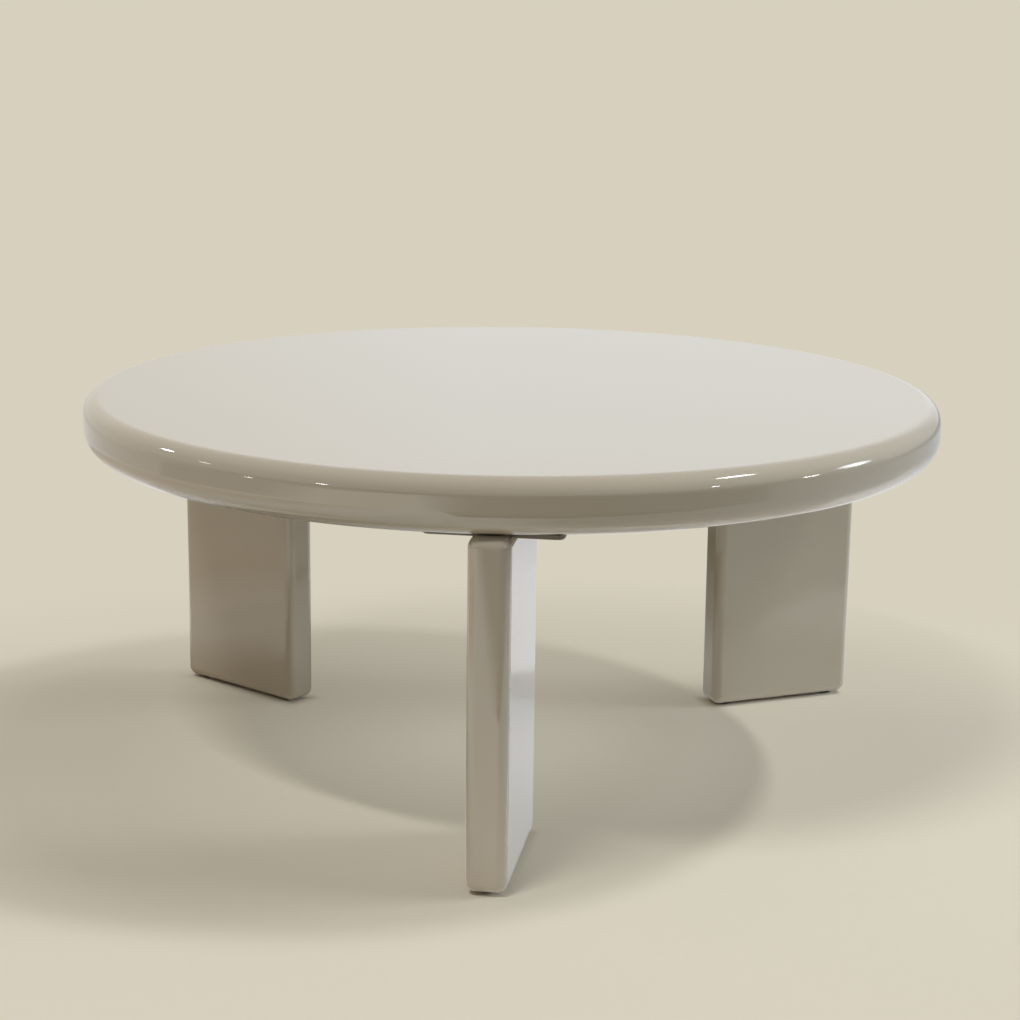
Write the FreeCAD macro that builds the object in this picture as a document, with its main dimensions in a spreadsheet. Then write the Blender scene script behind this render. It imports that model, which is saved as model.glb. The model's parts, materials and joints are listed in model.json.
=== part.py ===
# Round cocktail table: a built-up lacquered top on three slab legs, each bolted on through a steel plate
# and standing on two screw-in glides. Millimetres, +Z up, origin on the floor under the centre of the top.
import FreeCAD
import Part
import os
import Sketcher

# Driving sizes. A value ending in angle is in degrees, everything else is a length.
size_groups = {
    "Top": {
        "top_diameter": 1016.0,
        "table_height": 445.0,
        "top_skin_thickness": 25.0,
        "core_thickness": 28.0,
        "underside_panel_thickness": 9.0,
        "upper_edge_radius": 20.0,
        "lower_edge_radius": 28.0,
        "rim_ring_width": 70.0,
        "panel_rebate_width": 8.0,
        "panel_clearance": 0.4,
    },
    "Core inside the top": {
        "core_hub_diameter": 150.0,
        "core_rib_thickness": 18.0,
        "core_joint_gap": 0.5,
        "leg_block_length": 130.0,
        "leg_block_width": 130.0,
    },
    "Legs": {
        "front_leg_angle": -90.0,
        "leg_turn_angle": -7.8,
        "leg_inset": 8.0,
        "leg_length": 196.0,
        "leg_width": 45.0,
        "leg_edge_radius": 12.0,
        "leg_top_gap": 0.3,
    },
    "Mounting plates": {
        "plate_side": 146.0,
        "plate_thickness": 5.0,
        "plate_corner_radius": 8.0,
        "plate_edge_chamfer": 1.0,
        "plate_rebate_clearance": 0.5,
        "bolt_edge_distance": 22.0,
        "bolt_hole_clearance": 0.5,
    },
    "Plate bolts and inserts": {
        "bolt_diameter": 8.0,
        "bolt_grip_in_insert": 14.0,
        "bolt_head_diameter": 16.0,
        "bolt_head_clearance": 0.1,
        "bolt_socket_width": 5.0,
        "bolt_socket_depth": 2.6,
        "insert_diameter": 12.0,
        "insert_length": 20.0,
        "thread_clearance": 0.05,
        "insert_clearance": 0.05,
    },
    "Screws from plate to leg": {
        "leg_screw_diameter": 6.0,
        "leg_screw_length": 65.0,
        "leg_screw_head_diameter": 11.6,
        "leg_screw_spacing": 36.0,
        "leg_screw_clearance": 0.1,
    },
    "Glides": {
        "glide_end_distance": 24.0,
        "glide_base_diameter": 20.0,
        "glide_base_height": 3.0,
        "glide_base_rounding": 0.8,
        "glide_stem_diameter": 8.0,
        "glide_stem_length": 32.0,
        "glide_stem_seat": 2.0,
        "glide_insert_diameter": 11.0,
        "glide_insert_length": 22.0,
        "glide_bore_overrun": 4.0,
    },
    "Shared": {
        "least_land": 0.5,
        "cut_overrun": 1.0,
    },
}

match_tolerance = 1e-6
leg_names = ("front", "right", "left")
glide_sides = {"outer": 1, "inner": -1}

doc = FreeCAD.newDocument("CocktailTable")
sheet = doc.addObject("Spreadsheet::Sheet", "Sizes")


def fill_sheet():
    row = 1
    for heading, sizes in size_groups.items():
        sheet.set(f"A{row}", heading)
        row += 1
        for alias, value in sizes.items():
            sheet.set(f"A{row}", alias)
            sheet.set(f"B{row}", str(value))
            sheet.setAlias(f"B{row}", alias)
            row += 1
    doc.recompute()


# Places worked out from the driving sizes, as expressions that the features are bound to.
top_radius = "(Sizes.top_diameter / 2)"
skin_bottom = "(Sizes.table_height - Sizes.top_skin_thickness)"
panel_top = f"({skin_bottom} - Sizes.core_thickness)"
underside = f"({panel_top} - Sizes.underside_panel_thickness)"
ring_height = "(Sizes.core_thickness + Sizes.underside_panel_thickness)"
ring_inner_diameter = "(Sizes.top_diameter - 2 * Sizes.rim_ring_width)"
panel_seat_diameter = f"({ring_inner_diameter} + 2 * Sizes.panel_rebate_width)"
leg_circle = f"({top_radius} - Sizes.leg_inset - Sizes.leg_length / 2)"
leg_bottom = "Sizes.glide_base_height"
leg_top = f"({underside} - Sizes.leg_top_gap)"
leg_height = f"({leg_top} - {leg_bottom})"
plate_bottom = f"({underside} - Sizes.plate_thickness)"
plate_rebate_length = "(Sizes.plate_side + 2 * Sizes.plate_rebate_clearance)"
bolt_reach = "(Sizes.plate_side / 2 - Sizes.bolt_edge_distance)"
bolt_head_height = "((Sizes.bolt_head_diameter - Sizes.bolt_diameter) / 2)"
insert_bore = "(Sizes.bolt_diameter + 2 * Sizes.thread_clearance)"
insert_hole = "(Sizes.insert_diameter + 2 * Sizes.insert_clearance)"
plate_bolt_hole = "(Sizes.bolt_diameter + 2 * Sizes.bolt_hole_clearance)"
bolt_sink = f"(Sizes.bolt_head_diameter / 2 + Sizes.bolt_head_clearance - {plate_bolt_hole} / 2)"
leg_screw_hole = "(Sizes.leg_screw_diameter + 2 * Sizes.leg_screw_clearance)"
leg_screw_head_height = "((Sizes.leg_screw_head_diameter - Sizes.leg_screw_diameter) / 2)"
glide_reach = "(Sizes.leg_length / 2 - Sizes.glide_end_distance)"
glide_insert_hole = "(Sizes.glide_insert_diameter + 2 * Sizes.insert_clearance)"
glide_stem_hole = "(Sizes.glide_stem_diameter + 2 * Sizes.thread_clearance)"
glide_bore_depth = "(Sizes.glide_stem_length - Sizes.glide_stem_seat + Sizes.glide_bore_overrun)"


def value_of(expression):
    return float(sheet.evalExpression(expression))


def leg_angle(index):
    return f"(Sizes.front_leg_angle + {index} * 360 / {len(leg_names)})"


def placement_at(x, y, z, angle):
    return f"placement(vector({x}; {y}; {z}); rotation(vector(0; 0; 1); {angle}))"


# The frame of one leg: under the middle of the slab, on the floor or higher, x outwards along the slab.
def leg_frame(index, height="0"):
    angle = leg_angle(index)
    turn = f"{angle} + Sizes.leg_turn_angle"
    return placement_at(f"{leg_circle} * cos({angle})", f"{leg_circle} * sin({angle})", height, turn)


# Bodies and sketches
def new_body(label, frame=None):
    body = doc.addObject("PartDesign::Body", label)
    body.Label = label
    body.AllowCompound = True
    if frame:
        body.setExpression("Placement", frame)
    return body


def origin_feature(body, role):
    return next(feature for feature in body.Origin.OriginFeatures if feature.Role == role)


def new_sketch_in(body, frame):
    sketch = body.newObject("Sketcher::SketchObject", body.Label + "_sketch")
    sketch.AttachmentSupport = [(origin_feature(body, "XY_Plane"), "")]
    sketch.MapMode = "FlatFace"
    sketch.setExpression("AttachmentOffset", frame)
    return sketch


def new_sketch(body, height):
    return new_sketch_in(body, placement_at("0", "0", height, "0"))


def bind(sketch, constraint, expression):
    index = sketch.addConstraint(constraint)
    sketch.setExpression(f"Constraints[{index}]", expression)


# Ties one point of a sketch to a place, along the axes where the place is zero and by a distance elsewhere.
def tie_point(sketch, geometry, point, x, y):
    if x == "0":
        sketch.addConstraint(Sketcher.Constraint("PointOnObject", geometry, point, -2))
    else:
        bind(sketch, Sketcher.Constraint("DistanceX", -1, 1, geometry, point, value_of(x)), x)
    if y == "0":
        sketch.addConstraint(Sketcher.Constraint("PointOnObject", geometry, point, -1))
    else:
        bind(sketch, Sketcher.Constraint("DistanceY", -1, 1, geometry, point, value_of(y)), y)


def add_circle(sketch, diameter, x="0", y="0", construction=False):
    center = FreeCAD.Vector(value_of(x), value_of(y), 0)
    circle = Part.Circle(center, FreeCAD.Vector(0, 0, 1), value_of(diameter) / 2)
    geometry = sketch.addGeometry(circle, construction)
    bind(sketch, Sketcher.Constraint("Diameter", geometry, value_of(diameter)), diameter)
    tie_point(sketch, geometry, 3, x, y)
    return geometry


def add_lines(sketch, corners):
    vectors = [FreeCAD.Vector(x, y, 0) for x, y in corners]
    lines = []
    for start, end in zip(vectors, vectors[1:] + vectors[:1]):
        lines.append(sketch.addGeometry(Part.LineSegment(start, end), False))
    for line, following in zip(lines, lines[1:] + lines[:1]):
        sketch.addConstraint(Sketcher.Constraint("Coincident", line, 2, following, 1))
    return lines


def add_rectangle(sketch, x_low, x_high, y_low, y_high):
    left, right, low, high = (value_of(side) for side in (x_low, x_high, y_low, y_high))
    lines = add_lines(sketch, [(left, low), (right, low), (right, high), (left, high)])
    for line in lines[0::2]:
        sketch.addConstraint(Sketcher.Constraint("Horizontal", line))
    for line in lines[1::2]:
        sketch.addConstraint(Sketcher.Constraint("Vertical", line))
    tie_point(sketch, lines[0], 1, x_low, y_low)
    tie_point(sketch, lines[2], 1, x_high, y_high)


def add_centered_rectangle(sketch, length, width):
    add_rectangle(sketch, f"-{length} / 2", f"{length} / 2", f"-{width} / 2", f"{width} / 2")


def add_hexagon(sketch, width, x, y):
    across_corners = f"({width} / cos(30))"
    circle = add_circle(sketch, across_corners, x, y, construction=True)
    center = FreeCAD.Vector(value_of(x), value_of(y), 0)
    corner = FreeCAD.Vector(value_of(across_corners) / 2, 0, 0)
    corners = []
    for turn in range(6):
        spoke = FreeCAD.Rotation(FreeCAD.Vector(0, 0, 1), turn * 60).multVec(corner)
        corners.append(((center + spoke).x, (center + spoke).y))
    lines = add_lines(sketch, corners)
    for line in lines:
        sketch.addConstraint(Sketcher.Constraint("PointOnObject", line, 1, circle))
    for line in lines[1:]:
        sketch.addConstraint(Sketcher.Constraint("Equal", lines[0], line))
    sketch.addConstraint(Sketcher.Constraint("Horizontal", lines[1]))


# Features
def pad(body, sketch, length):
    feature = body.newObject("PartDesign::Pad", body.Label + "_pad")
    feature.Profile = sketch
    feature.setExpression("Length", length)
    doc.recompute()
    return feature


def pocket(body, sketch, depth, upward=False):
    before = body.Shape.Volume
    feature = body.newObject("PartDesign::Pocket", body.Label + "_pocket")
    feature.Profile = sketch
    feature.Reversed = upward
    feature.setExpression("Length", depth)
    doc.recompute()
    if body.Shape.Volume >= before:
        raise RuntimeError(f"{body.Label}: a pocket cut nothing")
    return feature


def repeat_round_axis(body, feature, count):
    pattern = body.newObject("PartDesign::PolarPattern", body.Label + "_pattern")
    pattern.Originals = [feature]
    pattern.Axis = (origin_feature(body, "Z_Axis"), [""])
    pattern.Angle = 360
    pattern.Occurrences = count
    body.Tip = pattern
    doc.recompute()


# Names of the level edges at a height in the body's own frame, or of the circles of a diameter there.
def level_edges(feature, height, diameter=None):
    names = []
    for number, edge in enumerate(feature.Shape.Edges, 1):
        box = edge.BoundBox
        level = box.ZLength < match_tolerance and abs(box.ZMin - value_of(height)) < match_tolerance
        if level and diameter:
            level = isinstance(edge.Curve, Part.Circle)
            level = level and abs(2 * edge.Curve.Radius - value_of(diameter)) < match_tolerance
        if level:
            names.append(f"Edge{number}")
    return names


def upright_edges(feature):
    names = []
    for number, edge in enumerate(feature.Shape.Edges, 1):
        if isinstance(edge.Curve, Part.Line) and edge.BoundBox.ZLength > edge.Length / 2:
            names.append(f"Edge{number}")
    return names


def round_edges(body, feature, edges, radius):
    fillet = body.newObject("PartDesign::Fillet", body.Label + "_fillet")
    fillet.Base = (feature, edges)
    fillet.setExpression("Radius", radius)
    doc.recompute()
    return fillet


def bevel_edges(body, feature, edges, setback):
    chamfer = body.newObject("PartDesign::Chamfer", body.Label + "_chamfer")
    chamfer.Base = (feature, edges)
    chamfer.setExpression("Size", setback)
    doc.recompute()
    return chamfer


# The four bolt places of a plate, in the frame of its leg.
def bolt_places():
    corners = [(1, 1), (1, -1), (-1, 1), (-1, -1)]
    return [(f"{along} * {bolt_reach}", f"{across} * {bolt_reach}") for along, across in corners]


def screw_places():
    return [(f"{step} * Sizes.leg_screw_spacing", "0") for step in (-1.5, -0.5, 0.5, 1.5)]


def glide_places():
    return [(f"{side} * {glide_reach}", "0") for side in glide_sides.values()]


def add_circles(sketch, diameter, places):
    for x, y in places:
        add_circle(sketch, diameter, x, y)


# Cuts the insert holes of all three legs into a body of the top, from its underside upwards.
def cut_insert_holes_round_top(body, depth):
    sketch = new_sketch_in(body, leg_frame(0, underside))
    add_circles(sketch, insert_hole, bolt_places())
    holes = pocket(body, sketch, depth, upward=True)
    repeat_round_axis(body, holes, len(leg_names))


# The top
def make_top_skin():
    body = new_body("top_skin")
    sketch = new_sketch(body, skin_bottom)
    add_circle(sketch, "Sizes.top_diameter")
    board = pad(body, sketch, "Sizes.top_skin_thickness")
    radius = "min(Sizes.upper_edge_radius; Sizes.top_skin_thickness - Sizes.least_land)"
    round_edges(body, board, level_edges(board, "Sizes.table_height"), radius)
    return body


def make_rim_ring():
    body = new_body("rim_ring")
    sketch = new_sketch(body, underside)
    add_circle(sketch, "Sizes.top_diameter")
    add_circle(sketch, ring_inner_diameter)
    ring = pad(body, sketch, ring_height)
    land = "Sizes.rim_ring_width - Sizes.panel_rebate_width - Sizes.least_land"
    radius = f"min(Sizes.lower_edge_radius; {ring_height} - Sizes.least_land; {land})"
    round_edges(body, ring, level_edges(ring, underside, "Sizes.top_diameter"), radius)
    rebate = new_sketch(body, underside)
    add_circle(rebate, panel_seat_diameter)
    pocket(body, rebate, "Sizes.underside_panel_thickness", upward=True)
    cut_insert_holes_round_top(body, "Sizes.insert_length")
    return body


def make_underside_panel():
    body = new_body("underside_panel")
    sketch = new_sketch(body, underside)
    add_circle(sketch, f"{panel_seat_diameter} - 2 * Sizes.panel_clearance")
    pad(body, sketch, "Sizes.underside_panel_thickness")
    cut_insert_holes_round_top(body, "Sizes.underside_panel_thickness + Sizes.cut_overrun")
    return body


def make_core_hub():
    body = new_body("core_hub")
    sketch = new_sketch(body, panel_top)
    add_circle(sketch, "Sizes.core_hub_diameter")
    pad(body, sketch, "Sizes.core_thickness")
    return body


# A rib stands on edge between board and panel, along the x axis of its own frame.
def make_core_rib(label, angle, outer_end):
    body = new_body(label, placement_at("0", "0", "0", angle))
    sketch = new_sketch(body, panel_top)
    inner_end = "Sizes.core_hub_diameter / 2 + Sizes.core_joint_gap"
    half = "Sizes.core_rib_thickness / 2"
    add_rectangle(sketch, inner_end, outer_end, f"-{half}", half)
    pad(body, sketch, "Sizes.core_thickness")
    return body


def make_core_ribs():
    ribs = []
    skew = "abs(Sizes.leg_turn_angle)"
    block_slope = f"Sizes.core_rib_thickness / 2 * tan({skew})"
    block_face = f"{leg_circle} - Sizes.leg_block_length / 2 / cos({skew}) - {block_slope}"
    half_chord = "Sizes.core_rib_thickness / 2"
    ring_face = f"sqrt(pow({ring_inner_diameter} / 2; 2) - pow({half_chord}; 2))"
    for index, name in enumerate(leg_names):
        angle = leg_angle(index)
        block_end = f"{block_face} - Sizes.core_joint_gap"
        ring_end = f"{ring_face} - Sizes.core_joint_gap"
        ribs.append(make_core_rib(f"core_rib_{name}", angle, block_end))
        ribs.append(make_core_rib(f"core_rib_opposite_{name}", f"{angle} + 180", ring_end))
    return ribs


# The block over a leg is scribed to the inside of the ring and takes the inner pair of inserts.
def make_leg_block(name, frame):
    body = new_body(f"leg_block_{name}", frame)
    sketch = new_sketch(body, panel_top)
    add_centered_rectangle(sketch, "Sizes.leg_block_length", "Sizes.leg_block_width")
    pad(body, sketch, "Sizes.core_thickness")
    scribe = new_sketch(body, panel_top)
    axis_x = f"-{leg_circle} * cos(Sizes.leg_turn_angle)"
    axis_y = f"{leg_circle} * sin(Sizes.leg_turn_angle)"
    add_circle(scribe, f"{ring_inner_diameter} - 2 * Sizes.core_joint_gap", axis_x, axis_y)
    add_circle(scribe, "Sizes.top_diameter + 2 * Sizes.leg_block_length", axis_x, axis_y)
    pocket(body, scribe, "Sizes.core_thickness", upward=True)
    holes = new_sketch(body, panel_top)
    add_circles(holes, insert_hole, bolt_places())
    pocket(body, holes, "Sizes.insert_length - Sizes.underside_panel_thickness", upward=True)
    return body


# Hardware between top and leg
def make_top_inserts(name, frame):
    body = new_body(f"top_inserts_{name}", frame)
    sketch = new_sketch(body, underside)
    add_circles(sketch, "Sizes.insert_diameter", bolt_places())
    add_circles(sketch, insert_bore, bolt_places())
    pad(body, sketch, "Sizes.insert_length")
    return body


# The plate is sunk from below for the four bolts and from above for the screws into the leg.
def make_mounting_plate(name, frame):
    body = new_body(f"mounting_plate_{name}", frame)
    sketch = new_sketch(body, plate_bottom)
    add_centered_rectangle(sketch, "Sizes.plate_side", "Sizes.plate_side")
    blank = pad(body, sketch, "Sizes.plate_thickness")
    cornered = round_edges(body, blank, upright_edges(blank), "Sizes.plate_corner_radius")
    bevel_edges(body, cornered, level_edges(cornered, plate_bottom), "Sizes.plate_edge_chamfer")
    bolt_holes = new_sketch(body, plate_bottom)
    add_circles(bolt_holes, plate_bolt_hole, bolt_places())
    drilled = pocket(body, bolt_holes, "Sizes.plate_thickness + Sizes.cut_overrun", upward=True)
    bevel_edges(body, drilled, level_edges(drilled, plate_bottom, plate_bolt_hole), bolt_sink)
    screw_holes = new_sketch(body, plate_bottom)
    add_circles(screw_holes, leg_screw_hole, screw_places())
    sunk = pocket(body, screw_holes, "Sizes.plate_thickness + Sizes.cut_overrun", upward=True)
    bevel_edges(body, sunk, level_edges(sunk, underside, leg_screw_hole), leg_screw_head_height)
    return body


def make_plate_bolts(name, frame):
    body = new_body(f"plate_bolts_{name}", frame)
    heads = new_sketch(body, plate_bottom)
    add_circles(heads, "Sizes.bolt_head_diameter", bolt_places())
    discs = pad(body, heads, bolt_head_height)
    rims = level_edges(discs, f"{plate_bottom} + {bolt_head_height}", "Sizes.bolt_head_diameter")
    bevel_edges(body, discs, rims, f"{bolt_head_height} - Sizes.thread_clearance")
    shanks = new_sketch(body, f"{plate_bottom} + {bolt_head_height}")
    add_circles(shanks, "Sizes.bolt_diameter", bolt_places())
    pad(body, shanks, f"Sizes.plate_thickness - {bolt_head_height} + Sizes.bolt_grip_in_insert")
    sockets = new_sketch(body, plate_bottom)
    for x, y in bolt_places():
        add_hexagon(sockets, "Sizes.bolt_socket_width", x, y)
    pocket(body, sockets, "Sizes.bolt_socket_depth", upward=True)
    return body


def make_leg_screws(name, frame):
    body = new_body(f"leg_screws_{name}", frame)
    shanks = new_sketch(body, f"{underside} - Sizes.leg_screw_length")
    add_circles(shanks, "Sizes.leg_screw_diameter", screw_places())
    pad(body, shanks, f"Sizes.leg_screw_length - {leg_screw_head_height}")
    heads = new_sketch(body, f"{underside} - {leg_screw_head_height}")
    add_circles(heads, "Sizes.leg_screw_head_diameter", screw_places())
    discs = pad(body, heads, leg_screw_head_height)
    rims = level_edges(discs, f"{underside} - {leg_screw_head_height}", "Sizes.leg_screw_head_diameter")
    bevel_edges(body, discs, rims, f"{leg_screw_head_height} - Sizes.thread_clearance")
    return body


# Legs and glides. The plate is let into the top of the leg, so the ends of the slab reach the underside.
def make_leg(name, frame):
    body = new_body(f"leg_{name}", frame)
    sketch = new_sketch(body, leg_bottom)
    add_centered_rectangle(sketch, "Sizes.leg_length", "Sizes.leg_width")
    slab = pad(body, sketch, leg_height)
    radius = "min(Sizes.leg_edge_radius; Sizes.leg_width / 2 - Sizes.least_land)"
    every_edge = [f"Edge{number}" for number in range(1, len(slab.Shape.Edges) + 1)]
    round_edges(body, slab, every_edge, radius)
    rebate = new_sketch(body, plate_bottom)
    add_centered_rectangle(rebate, plate_rebate_length, "(Sizes.leg_width + 2 * Sizes.cut_overrun)")
    pocket(body, rebate, "Sizes.plate_thickness + Sizes.cut_overrun", upward=True)
    screw_holes = new_sketch(body, plate_bottom)
    add_circles(screw_holes, leg_screw_hole, screw_places())
    pocket(body, screw_holes, "Sizes.leg_screw_length - Sizes.plate_thickness + Sizes.cut_overrun")
    insert_holes = new_sketch(body, leg_bottom)
    add_circles(insert_holes, glide_insert_hole, glide_places())
    pocket(body, insert_holes, "Sizes.glide_insert_length", upward=True)
    stem_bores = new_sketch(body, leg_bottom)
    add_circles(stem_bores, glide_stem_hole, glide_places())
    pocket(body, stem_bores, glide_bore_depth, upward=True)
    return body


def make_glide_inserts(name, frame):
    body = new_body(f"glide_inserts_{name}", frame)
    sketch = new_sketch(body, leg_bottom)
    add_circles(sketch, "Sizes.glide_insert_diameter", glide_places())
    add_circles(sketch, glide_stem_hole, glide_places())
    pad(body, sketch, "Sizes.glide_insert_length")
    return body


def make_glide_base(label, frame, x):
    body = new_body(label, frame)
    sketch = new_sketch(body, "0")
    add_circle(sketch, "Sizes.glide_base_diameter", x, "0")
    disc = pad(body, sketch, "Sizes.glide_base_height")
    radius = "min(Sizes.glide_base_rounding; Sizes.glide_base_height - Sizes.least_land)"
    round_edges(body, disc, level_edges(disc, "0"), radius)
    seat = new_sketch(body, "Sizes.glide_base_height")
    add_circle(seat, "Sizes.glide_stem_diameter", x, "0")
    pocket(body, seat, "Sizes.glide_stem_seat")
    return body


def make_glide_stem(label, frame, x):
    body = new_body(label, frame)
    sketch = new_sketch(body, "Sizes.glide_base_height - Sizes.glide_stem_seat")
    add_circle(sketch, "Sizes.glide_stem_diameter", x, "0")
    pad(body, sketch, "Sizes.glide_stem_length")
    return body


def make_leg_station(index, name):
    frame = leg_frame(index)
    pieces = [
        make_leg_block(name, frame),
        make_top_inserts(name, frame),
        make_mounting_plate(name, frame),
        make_plate_bolts(name, frame),
        make_leg_screws(name, frame),
        make_leg(name, frame),
        make_glide_inserts(name, frame),
    ]
    for side, sign in glide_sides.items():
        x = f"{sign} * {glide_reach}"
        pieces.append(make_glide_base(f"glide_base_{name}_{side}", frame, x))
        pieces.append(make_glide_stem(f"glide_stem_{name}_{side}", frame, x))
    return pieces


def check(pieces):
    for item in doc.Objects:
        if "Invalid" in item.State or "Error" in item.State:
            raise RuntimeError(f"{item.Label} failed: {item.State}")
    for piece in pieces:
        if piece.Shape.isNull() or not piece.Shape.isValid():
            raise RuntimeError(f"{piece.Label} has no valid shape")


def write(pieces):
    os.makedirs("parts", exist_ok=True)
    for piece in pieces:
        piece.Shape.exportStep(f"parts/{piece.Label}.step")
        print(piece.Label, len(piece.Shape.Solids), "solids", round(piece.Shape.Volume), "mm3")


def main():
    fill_sheet()
    pieces = [make_top_skin(), make_rim_ring(), make_underside_panel(), make_core_hub()]
    pieces += make_core_ribs()
    for index, name in enumerate(leg_names):
        pieces += make_leg_station(index, name)
    doc.recompute()
    check(pieces)
    write(pieces)


main()
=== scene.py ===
import bmesh
import bpy
import json
import math
from mathutils import Matrix, Vector


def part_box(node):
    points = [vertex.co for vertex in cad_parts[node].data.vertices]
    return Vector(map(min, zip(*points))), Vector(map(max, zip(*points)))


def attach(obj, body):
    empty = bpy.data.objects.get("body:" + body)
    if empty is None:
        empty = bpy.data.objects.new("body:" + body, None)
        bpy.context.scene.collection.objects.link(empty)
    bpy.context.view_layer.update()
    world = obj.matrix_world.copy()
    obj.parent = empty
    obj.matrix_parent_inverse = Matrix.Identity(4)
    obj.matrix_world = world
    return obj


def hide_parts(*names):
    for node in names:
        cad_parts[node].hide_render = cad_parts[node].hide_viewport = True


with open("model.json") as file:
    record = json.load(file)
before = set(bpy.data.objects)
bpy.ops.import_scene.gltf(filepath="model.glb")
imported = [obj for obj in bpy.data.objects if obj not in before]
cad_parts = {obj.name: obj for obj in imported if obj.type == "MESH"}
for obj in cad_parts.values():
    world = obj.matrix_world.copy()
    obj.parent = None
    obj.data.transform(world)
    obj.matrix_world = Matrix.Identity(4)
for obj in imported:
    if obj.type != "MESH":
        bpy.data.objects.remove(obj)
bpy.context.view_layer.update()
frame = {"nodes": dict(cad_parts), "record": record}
nodes = frame["nodes"]
legNames = ("front", "right", "left")
glideSides = ("outer", "inner")
print("frame loaded:", len(nodes), "nodes")


# node helpers

def addNode(tree, kind, place, **settings):
    node = tree.nodes.new(kind)
    node.location = place
    for name, value in settings.items():
        setattr(node, name, value)
    return node


# a socket takes a link or a plain value
def feed(tree, socket, value):
    if isinstance(value, bpy.types.NodeSocket):
        tree.links.new(value, socket)
    else:
        socket.default_value = value


def newGroup(name, inputs, outputs):
    tree = bpy.data.node_groups.new(name, "ShaderNodeTree")
    for socketName, kind, value in inputs:
        socket = tree.interface.new_socket(name=socketName, in_out="INPUT", socket_type=kind)
        socket.default_value = value
    for socketName, kind in outputs:
        tree.interface.new_socket(name=socketName, in_out="OUTPUT", socket_type=kind)
    start = addNode(tree, "NodeGroupInput", (-900, 0))
    end = addNode(tree, "NodeGroupOutput", (700, 0))
    return tree, start, end


def noiseAt(tree, place, vector, scale, detail, roughness):
    noise = addNode(tree, "ShaderNodeTexNoise", place)
    noise.inputs["Detail"].default_value = detail
    noise.inputs["Roughness"].default_value = roughness
    tree.links.new(vector, noise.inputs["Vector"])
    feed(tree, noise.inputs["Scale"], scale)
    return noise.outputs["Fac"]


def mapRange(tree, place, value, fromLow, fromHigh, toLow, toHigh):
    node = addNode(tree, "ShaderNodeMapRange", place)
    tree.links.new(value, node.inputs["Value"])
    limits = {"From Min": fromLow, "From Max": fromHigh, "To Min": toLow, "To Max": toHigh}
    for name, amount in limits.items():
        feed(tree, node.inputs[name], amount)
    return node.outputs["Result"]


def mathNode(tree, place, operation, first, second=0.0):
    node = addNode(tree, "ShaderNodeMath", place, operation=operation)
    for socket, value in zip(node.inputs, (first, second)):
        feed(tree, socket, value)
    return node.outputs[0]


# a mix node's inputs 0, 6 and 7 are its factor and two colours, and output 2 is the mixed colour
def mixColours(tree, place, factor, first, second):
    node = addNode(tree, "ShaderNodeMix", place, data_type="RGBA")
    for index, value in ((0, factor), (6, first), (7, second)):
        feed(tree, node.inputs[index], value)
    return node.outputs[2]


def objectCoords(tree, place):
    return addNode(tree, "ShaderNodeTexCoord", place).outputs["Object"]


# shared effects

# tone drift, settled dust, wipe smears and orange peel of a coat; all change over the surface
coatEffect = {
    "driftScale": 3.2, "driftRange": (0.3, 0.7),
    "speckScale": 140.0, "speckReach": (0.03, 0.09), "speckColour": (0.62, 0.6, 0.56, 1),
    "patchScale": 9.0, "patchRange": (0.52, 0.68),
    "smearStretch": (2.0, 9.0, 5.0), "smearTurn": 0.5, "smearScale": 2.4, "smearRange": (0.35, 0.7),
    "swellScale": 24.0, "swellHeight": 6.0,
}


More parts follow.
